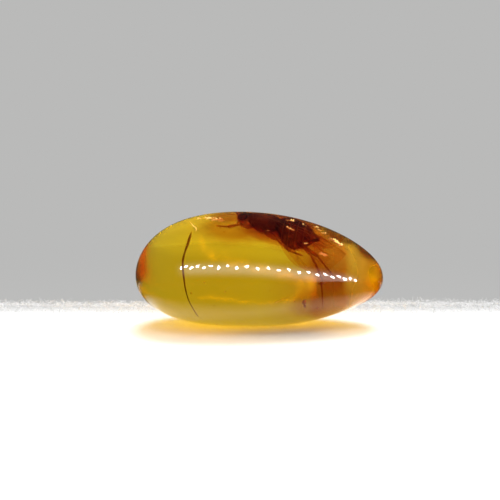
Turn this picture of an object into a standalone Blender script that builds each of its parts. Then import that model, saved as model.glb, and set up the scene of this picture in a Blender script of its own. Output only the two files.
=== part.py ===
"""A winged insect sealed in a polished amber pebble.

The pebble is one natural stone, egg-shaped, with a blunt end, a pointed end and a small polished flat
under its belly that it rests on. It is parted here on a level plane into a crown and a base, so that
the insect's pocket opens on the joint. The pocket follows the insect, a small gap away all round.

Frame, in metres: +X runs from the blunt end to the pointed end, +Z is up, and the origin is on the
resting flat, under the middle of the stone. The insect is built in a frame of its own, head towards -X
and back up, with its origin in the middle of the thorax, and is then set into the stone.
"""

import math

import bmesh
import bpy
from mathutils import Matrix, Vector

MM = 0.001

# The stone. The girdle is its widest level. The rise and the drop are measured from there at mid length.
STONE_LENGTH = 22.0 * MM
STONE_WIDTH = 13.6 * MM
CROWN_RISE = 5.67 * MM
BELLY_DROP = 4.40 * MM
CROWN_TAPER = 0.13  # how much lower the crown gets towards the pointed end, per half length
BELLY_TAPER = 0.12
WIDTH_TAPER = 0.25
END_DROP = 0.16 * MM  # how much lower than the middle the pointed end lies, and higher the blunt end
END_FULLNESS = 0.07  # how much fuller than an ellipse the blunt end is
WIDE_SIDE = 0.04  # how much the +Y side bulges beyond the -Y side, as a share of the half width
WAVE_HEIGHT = 0.05 * MM  # hand polishing leaves slow waves this high
REST_CUT = 0.15 * MM  # how much polishing took off the belly to leave the resting flat
STONE_SIDES = 48
STONE_RINGS = 32

# The joint between crown and base, and the gap that is kept between touching solids.
PARTING_HEIGHT = 6.9 * MM
GAP = 0.3 * MM

# Where the insect's thorax sits in the stone, and how the body lies there.
INSECT_PLACE = Vector((0.15, 0.25, 7.72)) * MM
INSECT_YAW = math.radians(-8.0)
INSECT_PITCH = math.radians(9.0)  # tail end down
INSECT_ROLL = math.radians(-10.0)  # leaning towards -Y

# The insect's body, in its own frame: centre and half sizes of each ellipsoid.
THORAX = (Vector((0.0, 0.0, 0.0)) * MM, Vector((1.35, 1.05, 1.12)) * MM)
HEAD = (Vector((-1.60, 0.0, -0.10)) * MM, Vector((0.56, 0.84, 0.70)) * MM)
EYE = (Vector((-1.64, 0.56, 0.06)) * MM, Vector((0.38, 0.36, 0.46)) * MM)
WAIST = (Vector((1.35, 0.0, -0.14)) * MM, Vector((0.55, 0.60, 0.62)) * MM)

ABDOMEN_START = Vector((1.25, 0.0, -0.16)) * MM
ABDOMEN_LENGTH = 3.6 * MM
ABDOMEN_RADIUS = 1.36 * MM
ABDOMEN_RINGS = 6
ABDOMEN_STEP = 0.05 * MM  # each ring ends this much proud of the next one's start
ABDOMEN_STUB = 0.06  # how far into its swell the abdomen starts, as a share of its length
ABDOMEN_SWELL_POWER = 0.72  # under 1 sets the fattest ring nearer the waist
ABDOMEN_DROOP = math.radians(5.0)

# Legs: femur, tibia and foot of a middle leg, with the radius at the hip and at each joint after it.
LEG_LENGTHS = (1.45 * MM, 1.55 * MM, 1.20 * MM)
LEG_RADII = (0.20 * MM, 0.15 * MM, 0.10 * MM, 0.07 * MM)
HIP_DROP = -0.80 * MM
HIP_OUT = 0.45 * MM
# Each leg: its side, the hip's place along the body, its length beside a middle leg's, the way it swings
# out (degrees from straight out, positive towards the tail), and how many degrees the femur, the tibia
# and the foot rise (negative: drop).
LEGS = {
    "fore_near": (-1, -0.75 * MM, 0.72, -64.0, (8.0, -16.0, 4.0)),
    "mid_near": (-1, 0.10 * MM, 1.00, 64.0, (-10.0, -16.0, 0.0)),
    "hind_near": (-1, 0.80 * MM, 1.45, 80.0, (-2.0, -14.0, -32.0)),
    "fore_far": (1, -0.75 * MM, 0.85, -40.0, (8.0, -34.0, -6.0)),
    "mid_far": (1, 0.10 * MM, 1.00, 30.0, (2.0, -40.0, -18.0)),
    "hind_far": (1, 0.80 * MM, 1.15, 66.0, (-10.0, -28.0, -40.0)),
}

ANTENNA_RADIUS = 0.07 * MM
ANTENNA_LENGTHS = (0.70 * MM, 1.20 * MM)
ANTENNA_ROOT = Vector((-0.8, 0.3, 0.3))  # on the head, in its half sizes
ANTENNA_OUT = math.radians(30.0)
ANTENNA_RISE = (math.radians(10.0), math.radians(-22.0))

# Wings: length, greatest width, side, where the span points and which way the membrane's width runs.
WING_THICKNESS = 0.10 * MM
WING_ROOT = Vector((0.10, 0.66, 0.66)) * MM
WING_POINTS = 9  # along each edge of the outline
WINGS = {
    "fore_near": (7.7 * MM, 3.2 * MM, -1, Vector((0.975, -0.10, -0.14)), Vector((0.14, -0.24, 0.95))),
    "hind_near": (6.5 * MM, 2.5 * MM, -1, Vector((0.93, -0.14, -0.28)), Vector((0.27, -0.22, 0.94))),
    "fore_far": (7.3 * MM, 3.0 * MM, 1, Vector((0.92, 0.36, -0.10)), Vector((-0.34, 0.82, 0.44))),
    "hind_far": (5.6 * MM, 2.2 * MM, 1, Vector((0.80, 0.56, -0.18)), Vector((-0.58, 0.78, 0.24))),
}

WELD = 0.0005 * MM  # joins a curve's loose caps to its sides


def clear_scene():
    for obj in list(bpy.data.objects):
        bpy.data.objects.remove(obj)


def new_collection(name):
    collection = bpy.data.collections.new(name)
    bpy.context.scene.collection.children.link(collection)
    return collection


def material(name, colour, roughness, transmission=0.0):
    """A Principled material. colour is linear RGB."""
    made = bpy.data.materials.new(name)
    made.use_nodes = True
    shader = made.node_tree.nodes["Principled BSDF"]
    shader.inputs["Base Color"].default_value = (*colour, 1.0)
    shader.inputs["Roughness"].default_value = roughness
    shader.inputs["Metallic"].default_value = 0.0
    shader.inputs["Transmission Weight"].default_value = transmission
    made.diffuse_color = (*colour, 1.0)
    return made


def mesh_object(name, bm, collection):
    """An object made of the bmesh, in the collection."""
    mesh = bpy.data.meshes.new(name)
    bm.normal_update()
    bm.to_mesh(mesh)
    bm.free()
    made = bpy.data.objects.new(name, mesh)
    collection.objects.link(made)
    return made


def as_helper(obj):
    """Marks a cutter or a shape that a Boolean joins, which isn't a piece of its own."""
    obj.hide_render = True
    obj.display_type = "WIRE"
    return obj


def boolean(obj, operation, other, solver="EXACT"):
    """Joins, cuts or crosses obj with another object, or with every object of a collection."""
    modifier = obj.modifiers.new(operation.title(), "BOOLEAN")
    modifier.operation = operation
    modifier.solver = solver
    if isinstance(other, bpy.types.Collection):
        modifier.operand_type = "COLLECTION"
        modifier.collection = other
    else:
        modifier.object = other


# The stone


def stone_point(unit):
    """Maps a point of the unit sphere to the stone's surface before its belly is polished flat."""
    along, across, up = unit
    blunt = 1.0 + END_FULLNESS * max(-along, 0.0) ** 2
    crown_share = 0.5 + 0.5 * math.sin(0.5 * math.pi * up)
    crown = CROWN_RISE * (1.0 - CROWN_TAPER * along)
    belly = BELLY_DROP * (1.0 - BELLY_TAPER * along)
    height = (belly + (crown - belly) * crown_share) * blunt
    half_width = 0.5 * STONE_WIDTH * (1.0 - WIDTH_TAPER * along) * blunt
    bulged = across + WIDE_SIDE * (across**2 - 1.0)
    girdle_height = BELLY_DROP - REST_CUT - END_DROP * along
    smooth = Vector((0.5 * STONE_LENGTH * along, half_width * bulged, girdle_height + height * up))
    # The waves die out at the two ends and the two sides, so the stone keeps its length and width.
    wave = math.sin(2.0 * math.pi * along + 2.0 * across) * math.cos(1.5 * math.pi * across - 2.0 * up)
    return smooth + Vector(unit) * wave * WAVE_HEIGHT


def stone(name, collection):
    """The whole pebble, rings of points from the blunt end to the pointed end."""
    bm = bmesh.new()
    poles_on_x = Matrix.Rotation(math.radians(90.0), 4, "Y")
    bmesh.ops.create_uvsphere(
        bm, u_segments=STONE_SIDES, v_segments=STONE_RINGS, radius=1.0, matrix=poles_on_x
    )
    for vertex in bm.verts:
        vertex.co = stone_point(vertex.co)
    made = mesh_object(name, bm, collection)
    made.data.shade_smooth()
    return made


def slab(name, bottom, top, collection):
    """A box wider than the stone, between two heights."""
    bm = bmesh.new()
    reach = 1.5 * STONE_LENGTH
    bmesh.ops.create_cube(bm, size=1.0)
    bmesh.ops.scale(bm, vec=(reach, reach, top - bottom), verts=bm.verts)
    bmesh.ops.translate(bm, vec=(0.0, 0.0, 0.5 * (top + bottom)), verts=bm.verts)
    return as_helper(mesh_object(name, bm, collection))


# The insect. Every shape takes a swell: 0 makes the insect, and the gap makes the pocket round it.


def ellipsoid(name, centre, half_sizes, swell, sides, collection):
    bm = bmesh.new()
    grown = half_sizes + Vector((swell, swell, swell))
    bmesh.ops.create_uvsphere(
        bm,
        u_segments=sides,
        v_segments=sides // 2 + 2,
        radius=1.0,
        matrix=Matrix.Translation(centre) @ Matrix.Diagonal(grown).to_4x4(),
    )
    return mesh_object(name, bm, collection)


def abdomen(name, swell, sides, collection):
    """A turned, ringed abdomen, blunt at the waist and pointed at the tail. The pocket's has no rings."""
    steps, step_height = (3, ABDOMEN_STEP) if swell == 0.0 else (2, 0.0)
    profile = [(0.0, -swell)]
    for ring in range(ABDOMEN_RINGS):
        for step in range(steps):
            share = (ring + step / steps) / ABDOMEN_RINGS
            round_the_swell = (ABDOMEN_STUB + (1.0 - ABDOMEN_STUB) * share) ** ABDOMEN_SWELL_POWER
            radius = ABDOMEN_RADIUS * math.sin(math.pi * round_the_swell)
            radius += step_height * step / (steps - 1)
            profile.append((radius + swell, share * ABDOMEN_LENGTH))
    profile.append((0.0, ABDOMEN_LENGTH + swell))
    mesh = bpy.data.meshes.new(name)
    points = [(radius, 0.0, height) for radius, height in reversed(profile)]
    mesh.from_pydata(points, [(i, i + 1) for i in range(len(points) - 1)], [])
    made = bpy.data.objects.new(name, mesh)
    collection.objects.link(made)
    turn = made.modifiers.new("Turn", "SCREW")
    turn.axis = "Z"
    turn.steps = turn.render_steps = sides
    turn.use_merge_vertices = True
    turn.merge_threshold = 10.0 * WELD
    along_body = Matrix.Rotation(math.radians(90.0) + ABDOMEN_DROOP, 4, "Y")
    made.matrix_world = Matrix.Translation(ABDOMEN_START) @ along_body
    return made


def closed_mesh(name, curve, matrix, collection):
    """A mesh object made from a curve, with the loose caps welded on."""
    drawn = bpy.data.objects.new(name + "_curve", curve)
    bpy.context.scene.collection.objects.link(drawn)
    drawn.matrix_world = matrix
    bpy.context.view_layer.update()
    graph = bpy.context.evaluated_depsgraph_get()
    mesh = bpy.data.meshes.new_from_object(drawn.evaluated_get(graph))
    bm = bmesh.new()
    bm.from_mesh(mesh)
    bmesh.ops.remove_doubles(bm, verts=bm.verts, dist=WELD)
    bmesh.ops.recalc_face_normals(bm, faces=bm.faces)
    bm.to_mesh(mesh)
    bm.free()
    made = bpy.data.objects.new(name, mesh)
    collection.objects.link(made)
    made.matrix_world = drawn.matrix_world
    bpy.data.objects.remove(drawn)
    return made


def tube(name, points, radii, sides_half, collection):
    """A tapering tube through points, as a closed mesh."""
    curve = bpy.data.curves.new(name, "CURVE")
    curve.dimensions = "3D"
    curve.bevel_depth = 1.0
    curve.bevel_resolution = sides_half
    curve.use_fill_caps = True
    spline = curve.splines.new("POLY")
    spline.points.add(len(points) - 1)
    for place, point, radius in zip(spline.points, points, radii):
        place.co = (*point, 1.0)
        place.radius = radius
    return closed_mesh(name, curve, Matrix.Identity(4), collection)


def leg_points(side, hip_along, scale, swing, rises):
    """Hip, knee, ankle and toe of one leg."""
    points = [Vector((hip_along, side * HIP_OUT, HIP_DROP))]
    swing = math.radians(swing)
    for length, rise in zip(LEG_LENGTHS, rises):
        rise = math.radians(rise)
        way = Vector((
            math.sin(swing) * math.cos(rise),
            side * math.cos(swing) * math.cos(rise),
            math.sin(rise),
        ))
        points.append(points[-1] + way * length * scale)
    return points


def antenna_points(side):
    """Root, elbow and tip of one antenna."""
    centre, half_sizes = HEAD
    points = [centre + Vector((1.0, side, 1.0)) * ANTENNA_ROOT * half_sizes]
    for length, rise in zip(ANTENNA_LENGTHS, ANTENNA_RISE):
        way = Vector((
            -math.cos(ANTENNA_OUT) * math.cos(rise),
            side * math.sin(ANTENNA_OUT) * math.cos(rise),
            math.sin(rise),
        ))
        points.append(points[-1] + way * length)
    return points


def wing_outline(length, width):
    """Closed outline from the root round the tip: a nearly straight leading edge, a full trailing edge."""
    shares = [i / (WING_POINTS - 1) for i in range(WING_POINTS)]
    leading = [(share * length, 0.16 * width * math.sin(math.pi * share)) for share in shares]
    trailing = [
        (share * length, -width * (0.10 * (1 - share) + 0.84 * math.sin(math.pi * share**1.25) ** 0.8))
        for share in shares[1:-1]
    ]
    root_corner = (0.0, -0.12 * width)
    return leading + trailing[::-1] + [root_corner]


def wing(name, length, width, side, span, chord, swell, collection):
    """A flat wing, its root at the shoulder."""
    curve = bpy.data.curves.new(name, "CURVE")
    curve.dimensions = "2D"
    curve.fill_mode = "BOTH"
    curve.extrude = 0.5 * WING_THICKNESS
    curve.bevel_depth = swell
    curve.bevel_resolution = 0
    outline = wing_outline(length, width)
    spline = curve.splines.new("POLY")
    spline.points.add(len(outline) - 1)
    for place, (along, across) in zip(spline.points, outline):
        place.co = (along, across, 0.0, 1.0)
    spline.use_cyclic_u = True
    x_axis = span.normalized()
    z_axis = x_axis.cross(chord).normalized()
    y_axis = z_axis.cross(x_axis)
    turned = Matrix((x_axis, y_axis, z_axis)).transposed().to_4x4()
    root = Vector((WING_ROOT.x, side * WING_ROOT.y, WING_ROOT.z))
    return closed_mesh(name, curve, Matrix.Translation(root) @ turned, collection)


def insect(name, swell, sides, sides_half, collection, solver="EXACT"):
    """The whole insect as one solid, or the shape of its pocket. All its shapes are joined on the thorax."""
    parts = new_collection(name + "_parts")
    shapes = [
        ellipsoid(name + "_head", *HEAD, swell, sides, parts),
        ellipsoid(name + "_waist", *WAIST, swell, sides // 2, parts),
        abdomen(name + "_abdomen", swell, sides, parts),
    ]
    for side in (-1, 1):
        centre = Vector((EYE[0].x, side * EYE[0].y, EYE[0].z))
        shapes.append(ellipsoid(f"{name}_eye_{side}", centre, EYE[1], swell, sides // 2 + 2, parts))
        points = antenna_points(side)
        radii = [ANTENNA_RADIUS + swell] * len(points)
        shapes.append(tube(f"{name}_antenna_{side}", points, radii, sides_half, parts))
    for leg, settings in LEGS.items():
        radii = [radius + swell for radius in LEG_RADII]
        shapes.append(tube(f"{name}_leg_{leg}", leg_points(*settings), radii, sides_half, parts))
    for blade, settings in WINGS.items():
        shapes.append(wing(f"{name}_wing_{blade}", *settings, swell, parts))
    thorax = ellipsoid(name, *THORAX, swell, sides, collection)
    place = Matrix.Translation(INSECT_PLACE)
    for angle, axis in ((INSECT_YAW, "Z"), (INSECT_PITCH, "Y"), (INSECT_ROLL, "X")):
        place = place @ Matrix.Rotation(angle, 4, axis)
    for shape in shapes:
        as_helper(shape)
        shape.matrix_world = place @ shape.matrix_world
    thorax.matrix_world = place
    boolean(thorax, "UNION", parts, solver)
    return thorax


def main():
    clear_scene()
    pieces = new_collection("insect_in_amber")
    cutters = new_collection("cutters")
    amber = material("amber", (0.72, 0.42, 0.03), roughness=0.05, transmission=1.0)
    chitin = material("chitin", (0.035, 0.014, 0.007), roughness=0.35)

    fossil = insect("insect", 0.0, 20, 2, pieces)
    fossil.data.materials.append(chitin)
    # The exact solver loses a half where the pocket's slanting walls run close, so the manifold one cuts it.
    pocket = as_helper(insect("pocket", GAP, 14, 1, cutters, solver="MANIFOLD"))

    spans = {
        "amber_base": (0.0, PARTING_HEIGHT - 0.5 * GAP),
        "amber_crown": (PARTING_HEIGHT + 0.5 * GAP, STONE_LENGTH),
    }
    for name, (bottom, top) in spans.items():
        half = stone(name, pieces)
        half.data.materials.append(amber)
        boolean(half, "INTERSECT", slab(name + "_span", bottom, top, cutters))
        boolean(half, "DIFFERENCE", pocket, solver="MANIFOLD")


main()
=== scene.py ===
# %% [markdown]
# # An insect in amber
# Amber is tree resin that ran over an insect, hardened and was polished much later into a pebble.
# What makes it look real is mostly light: it bends at the polished skin, turns from straw to orange to
# brown the further it travels inside, and comes out on the table as a warm glow. So this lesson builds
# one clear stone with true optics, and a small, finely made insect inside it. It starts from the packed
# solids, which fix every size and place.

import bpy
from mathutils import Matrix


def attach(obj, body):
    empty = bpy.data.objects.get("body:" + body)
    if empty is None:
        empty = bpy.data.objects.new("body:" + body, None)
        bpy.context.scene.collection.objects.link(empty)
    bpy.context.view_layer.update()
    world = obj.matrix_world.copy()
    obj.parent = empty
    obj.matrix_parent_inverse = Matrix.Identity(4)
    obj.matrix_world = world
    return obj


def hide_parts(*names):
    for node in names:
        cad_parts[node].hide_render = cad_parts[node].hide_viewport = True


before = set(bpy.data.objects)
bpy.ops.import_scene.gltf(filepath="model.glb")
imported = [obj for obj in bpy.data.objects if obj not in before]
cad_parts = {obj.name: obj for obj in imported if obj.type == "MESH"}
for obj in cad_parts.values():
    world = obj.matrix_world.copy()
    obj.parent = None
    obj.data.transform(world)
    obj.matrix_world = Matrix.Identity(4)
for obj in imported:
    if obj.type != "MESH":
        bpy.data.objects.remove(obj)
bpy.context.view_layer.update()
print("solids:", sorted(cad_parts))

# %% Modules and units
import math
import random

import bmesh
import bpy
from mathutils import Matrix, Vector, noise
from mathutils.interpolate import poly_3d_calc

MM = 0.001


def mm(*places):
    """A vector from millimetres."""
    return Vector(places) * MM


# %% [markdown]
# ## Small tools
# A node tree is easier to read when adding a node takes one line. `add_node` makes a node, sets its
# values and links whatever is given as a socket; `maths` and `fade` do so for the commonest two.
# `finish_piece` turns a bmesh into a named object that rides on the body and gives it its materials.

# %% Node and mesh helpers


def add_node(tree, kind, inputs=None, **settings):
    """A shader node of the kind. inputs maps a socket's name or number to a value or to another socket."""
    node = tree.nodes.new("ShaderNode" + kind)
    for name, value in settings.items():
        setattr(node, name, value)
    for name, value in (inputs or {}).items():
        if isinstance(value, bpy.types.NodeSocket):
            tree.links.new(value, node.inputs[name])
        else:
            node.inputs[name].default_value = value
    return node


def maths(tree, operation, first, second, kind="Math", **settings):
    """The result of a Math or VectorMath node."""
    return add_node(tree, kind, {0: first, 1: second}, operation=operation, **settings).outputs[0]


def fade(tree, value, start, end, low=0.0, high=1.0):
    """A smooth change from low to high while the value goes from start to end."""
    return add_node(tree, "MapRange", {
        "Value": value, "From Min": start, "From Max": end, "To Min": low, "To Max": high,
    }, interpolation_type="SMOOTHSTEP").outputs[0]


def own_place(tree):
    return add_node(tree, "TexCoord").outputs["Object"]


def new_material(name, **values):
    """A material, its tree and its Principled shader, with the given sockets set (underscores for spaces)."""
    made = bpy.data.materials.new(name)
    made.use_nodes = True
    shader = made.node_tree.nodes["Principled BSDF"]
    for socket, value in values.items():
        shader.inputs[socket.replace("_", " ")].default_value = value
    return made, made.node_tree, shader


def new_object(name, bm, materials, smooth=True):
    mesh = bpy.data.meshes.new(name)
    bm.to_mesh(mesh)
    bm.free()
    for material in materials:
        mesh.materials.append(material)
    if smooth:
        mesh.shade_smooth()
    made = bpy.data.objects.new(name, mesh)
    bpy.context.scene.collection.objects.link(made)
    return made


def finish_piece(name, bm, materials, smooth=True, matrix=None):
    """A named object made from the bmesh, riding on the body."""
    bmesh.ops.recalc_face_normals(bm, faces=bm.faces)
    if matrix is not None:
        bm.transform(matrix)
    piece = new_object(name, bm, materials, smooth)
    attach(piece, "root")
    piece.data.calc_loop_triangles()
    print(f"{name}: {len(piece.data.loop_triangles)} triangles")
    return piece


print("helpers ready")

# %% [markdown]
# ## The camera
# The camera goes in early, because everything after it is judged through it. It looks along +Y from a
# little above, and is shifted instead of turned, so that the stone sits just below the picture's middle.
# Its lens follows from how wide the picture is at the stone. Light caught in a clear stone is thrown to
# and fro many times, so more bounces are allowed than usual; with fewer, both ends would go black.

# %% Camera
STONE_LENGTH = 22.0 * MM
CAMERA_RISE = math.radians(8.0)
CAMERA_DISTANCE = 160.0 * MM
PICTURE_WIDTH = 44.53 * MM  # how much of the scene's width the picture takes in at the stone
AIM_HEIGHT = 4.88 * MM
SHIFT_SIDE = -0.019  # in picture widths
SHIFT_UP = 0.038
LIGHT_BOUNCES = 24


def add_camera():
    camera = bpy.data.cameras.new("camera")
    camera.sensor_width = 36.0
    camera.lens = camera.sensor_width * CAMERA_DISTANCE / PICTURE_WIDTH
    camera.shift_x = SHIFT_SIDE
    camera.shift_y = SHIFT_UP
    camera.clip_start = 1.0 * MM
    holder = bpy.data.objects.new("camera", camera)
    back = Vector((0.0, -math.cos(CAMERA_RISE), math.sin(CAMERA_RISE)))
    holder.location = Vector((0.0, 0.0, AIM_HEIGHT)) + back * CAMERA_DISTANCE
    holder.rotation_euler = (math.radians(90.0) - CAMERA_RISE, 0.0, 0.0)
    bpy.context.scene.collection.objects.link(holder)
    bpy.context.scene.camera = holder
    return camera


camera = add_camera()
bpy.context.scene.view_settings.view_transform = "Standard"
for limit in ("max_bounces", "glossy_bounces", "transmission_bounces"):
    setattr(bpy.context.scene.cycles, limit, LIGHT_BOUNCES)
print(f"camera: {camera.lens:.0f} mm lens at {CAMERA_DISTANCE / MM:.0f} mm")

# %% [markdown]
# ## Effects that several materials share
# Natural surfaces are never one colour. Three effects come back here: a patch with a ragged, soft edge,
# which shapes tints, painted shade and a rougher place alike; a mottle between two colours; and a fine
# grain with pits. Each could be rebuilt in every material, but a node group is built once and takes its
# own values wherever it is placed. It puts out only a mask, a colour or a height.

# %% Node group: a patch with a ragged edge
RAG_SCALE = 700.0


def new_group(name, inputs, output, output_kind):
    """An empty shader node group, and its input and output nodes."""
    group = bpy.data.node_groups.new(name, "ShaderNodeTree")
    for socket, kind in inputs.items():
        group.interface.new_socket(socket, in_out="INPUT", socket_type="NodeSocket" + kind)
    group.interface.new_socket(output, in_out="OUTPUT", socket_type="NodeSocket" + output_kind)
    return group, group.nodes.new("NodeGroupInput").outputs, group.nodes.new("NodeGroupOutput").inputs


def place_group(tree, group, values):
    """Places a node group in a material with its own values, and returns its outputs."""
    node = add_node(tree, "Group", node_tree=group)
    for name, value in values.items():
        node.inputs[name].default_value = value
    return node.outputs


def make_ragged_group():
    """Mask: 1 inside an ellipsoid given in the object's coordinates, 0 outside, with an uneven edge."""
    group, given, result = new_group("Ragged Patch", {
        "Centre": "Vector", "Half Sizes": "Vector", "Edge": "Float", "Raggedness": "Float",
        "Rag Scale": "Float",
    }, "Mask", "Float")
    place = own_place(group)
    rags = add_node(group, "TexNoise", {"Vector": place, "Scale": given["Rag Scale"], "Detail": 4.0})
    centred = maths(group, "SUBTRACT", rags.outputs["Color"], (0.5, 0.5, 0.5), "VectorMath")
    pushed = add_node(group, "VectorMath", {0: centred, "Scale": given["Raggedness"]}, operation="SCALE")
    warped = maths(group, "ADD", place, pushed.outputs[0], "VectorMath")
    offset = maths(group, "SUBTRACT", warped, given["Centre"], "VectorMath")
    scaled = maths(group, "DIVIDE", offset, given["Half Sizes"], "VectorMath")
    reach = add_node(group, "VectorMath", {0: scaled}, operation="LENGTH").outputs["Value"]
    inner = maths(group, "SUBTRACT", 1.0, given["Edge"])
    outer = maths(group, "ADD", 1.0, given["Edge"])
    group.links.new(fade(group, reach, inner, outer, 1.0, 0.0), result["Mask"])
    return group


ragged_group = make_ragged_group()


def ragged_mask(tree, centre, half_sizes, edge, raggedness):
    """The mask of a ragged patch given in mm, for tints and painted shade alike."""
    return place_group(tree, ragged_group, {
        "Centre": mm(*centre), "Half Sizes": mm(*half_sizes), "Edge": edge,
        "Raggedness": raggedness * MM, "Rag Scale": RAG_SCALE,
    })["Mask"]


print("group:", ragged_group.name)

# %% Node group: a mottle between two colours


def make_mottle_group():
    """Colour: clouds of one colour in another."""
    group, given, result = new_group(
        "Mottle", {"Colour": "Color", "Cloud Colour": "Color", "Scale": "Float", "Cover": "Float"},
        "Colour", "Color",
    )
    clouds = add_node(group, "TexNoise", {
        "Vector": own_place(group), "Scale": given["Scale"], "Detail": 5.0,
    })
    start = maths(group, "SUBTRACT", 0.8, given["Cover"])
    mixed = add_node(group, "Mix", {
        0: fade(group, clouds.outputs["Fac"], start, 0.8), 6: given["Colour"], 7: given["Cloud Colour"],
    }, data_type="RGBA")
    group.links.new(mixed.outputs[2], result["Colour"])
    return group


mottle_group = make_mottle_group()


def add_mottle(tree, shader, colour, cloud_colour, scale, cover):
    """Feeds the mottle to the shader's colour, and returns it."""
    mottle = place_group(tree, mottle_group, {
        "Colour": (*colour, 1.0), "Cloud Colour": (*cloud_colour, 1.0), "Scale": scale, "Cover": cover,
    })["Colour"]
    tree.links.new(mottle, shader.inputs["Base Color"])
    return mottle


print("group:", mottle_group.name)

# %% Node group: fine grain with pits


def make_grain_group():
    """Height: fine noise, with small round pits of the same scale cut into it."""
    group, given, result = new_group("Grain", {"Scale": "Float", "Pits": "Float"}, "Height", "Float")
    place = own_place(group)
    grain = add_node(group, "TexNoise", {"Vector": place, "Scale": given["Scale"], "Detail": 3.0})
    cells = add_node(group, "TexVoronoi", {"Vector": place, "Scale": given["Scale"]})
    depth = maths(group, "MULTIPLY", fade(group, cells.outputs["Distance"], 0.0, 0.45), given["Pits"])
    group.links.new(maths(group, "ADD", grain.outputs["Fac"], depth), result["Height"])
    return group


grain_group = make_grain_group()


def add_grain(tree, shader, scale, pits, strength, distance):
    """Feeds the grain group's height to the shader through a Bump node."""
    height = place_group(tree, grain_group, {"Scale": scale, "Pits": pits})["Height"]
    bump = add_node(tree, "Bump", {"Height": height, "Strength": strength, "Distance": distance})
    tree.links.new(bump.outputs["Normal"], shader.inputs["Normal"])


print("group:", grain_group.name)

# %% [markdown]
# ## The shape of the stone
# A tumbled pebble is close to an egg, but not quite: one end is blunt, the crown rises higher than the
# belly drops, and one side bulges more. The stone could be sculpted; here it is a sphere whose every
# point is moved by a formula, the same one as in the solids, so the two always agree. Polishing by hand
# leaves slow waves and a few flatter places near the pointed end. They are only hundredths of a
# millimetre high, and they still matter, because each one bends the light.

# %% Stone formula
STONE_WIDTH = 13.6 * MM
CROWN_RISE = 5.67 * MM
BELLY_DROP = 4.40 * MM
CROWN_TAPER = 0.13
BELLY_TAPER = 0.12
WIDTH_TAPER = 0.25
END_DROP = 0.16 * MM
END_FULLNESS = 0.07
WIDE_SIDE = 0.04
WAVE_HEIGHT = 0.05 * MM
REST_CUT = 0.15 * MM


def stone_point(unit):
    """Maps a point of the unit sphere to the stone's surface before its belly is polished flat."""
    along, across, up = unit
    blunt = 1.0 + END_FULLNESS * max(-along, 0.0) ** 2
    crown_share = 0.5 + 0.5 * math.sin(0.5 * math.pi * up)
    crown = CROWN_RISE * (1.0 - CROWN_TAPER * along)
    belly = BELLY_DROP * (1.0 - BELLY_TAPER * along)
    height = (belly + (crown - belly) * crown_share) * blunt
    half_width = 0.5 * STONE_WIDTH * (1.0 - WIDTH_TAPER * along) * blunt
    bulged = across + WIDE_SIDE * (across**2 - 1.0)
    girdle_height = BELLY_DROP - REST_CUT - END_DROP * along
    smooth = Vector((0.5 * STONE_LENGTH * along, half_width * bulged, girdle_height + height * up))
    wave = math.sin(2.0 * math.pi * along + 2.0 * across) * math.cos(1.5 * math.pi * across - 2.0 * up)
    return smooth + Vector(unit) * wave * WAVE_HEIGHT


def skin_place(x, angle, depth):
    """A point at x on the stone's near side, at an angle above the girdle, some depth under the skin."""
    along = x / (0.5 * STONE_LENGTH)
    girth = math.sqrt(max(1.0 - along**2, 0.0))
    unit = Vector((along, -girth * math.cos(angle), girth * math.sin(angle)))
    point = stone_point(unit)
    inward = Vector((0.0, 0.0, BELLY_DROP)) - point
    inward.x = 0.0
    return point + inward.normalized() * depth


print("top of the stone:", round(stone_point((0.0, 0.0, 1.0)).z / MM, 2), "mm")

# %% Stone mesh
STONE_SIDES = 220
STONE_RINGS = 150
POLISH_WAVE = (1.9 * MM, 0.0050 * MM)  # span and height of the fine waves all over
TIP_WAVE = (1.5 * MM, 0.030 * MM)  # of the flatter places near the pointed end
TIP_START = 0.62  # where they begin, as a share of the half length
REST_EDGE = 0.04 * MM  # how gradually the resting flat begins


def ease(value):
    """0 below 0, 1 above 1, and smooth between."""
    value = min(max(value, 0.0), 1.0)
    return value * value * (3.0 - 2.0 * value)


def polished_point(unit):
    """The stone's surface with its fine waves and its resting flat."""
    point = stone_point(unit)
    span, height = POLISH_WAVE
    waves = height * noise.noise(point / span)
    span, height = TIP_WAVE
    at_tip = ease((unit.x - TIP_START) / (1.0 - TIP_START))
    waves += height * noise.noise(point / span + Vector((7.0, 3.0, 1.0))) * at_tip
    point += unit * waves
    point.z = 0.5 * (point.z + math.hypot(point.z, REST_EDGE))
    return point


stone_mesh = bmesh.new()
poles_on_x = Matrix.Rotation(math.radians(90.0), 4, "Y")
bmesh.ops.create_uvsphere(
    stone_mesh, u_segments=STONE_SIDES, v_segments=STONE_RINGS, radius=1.0, matrix=poles_on_x
)
for vertex in stone_mesh.verts:
    vertex.co = polished_point(vertex.co.copy())
print("stone:", len(stone_mesh.verts), "points")

# %% [markdown]
# ## Amber
# Amber could be faked with a yellow gloss, but real amber gets its colour from distance: a thin edge is
# straw, a long way through is orange, and the longest ways are brown. Volume absorption does exactly
# that: for each millimetre, it takes away blue first, then green, then a little red. The skin is glassy,
# with amber's index of refraction, a hint of roughness where light enters and a slight haze where it
# leaves. Thin brown films lie on it and only tint what crosses them. Those on the ridge, at the point and
# at the blunt end are painted shade, which darkens these edges. One place on the far side was never
# polished, so the point shows no hard mirrored edges.

# %% Amber material
AMBER_IOR = 1.54
SKIN_ROUGHNESS = 0.05
INNER_HAZE = 0.15  # roughness met by light that leaves the stone
TAKEN_PER_METRE = Vector((4.0, 38.0, 328.0))  # red, green, blue light lost
DENSITY_MARGIN = 1.02  # keeps every part of the absorption's colour above 0
SHADOW_TINT = (0.70, 0.58, 0.30, 1.0)
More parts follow.
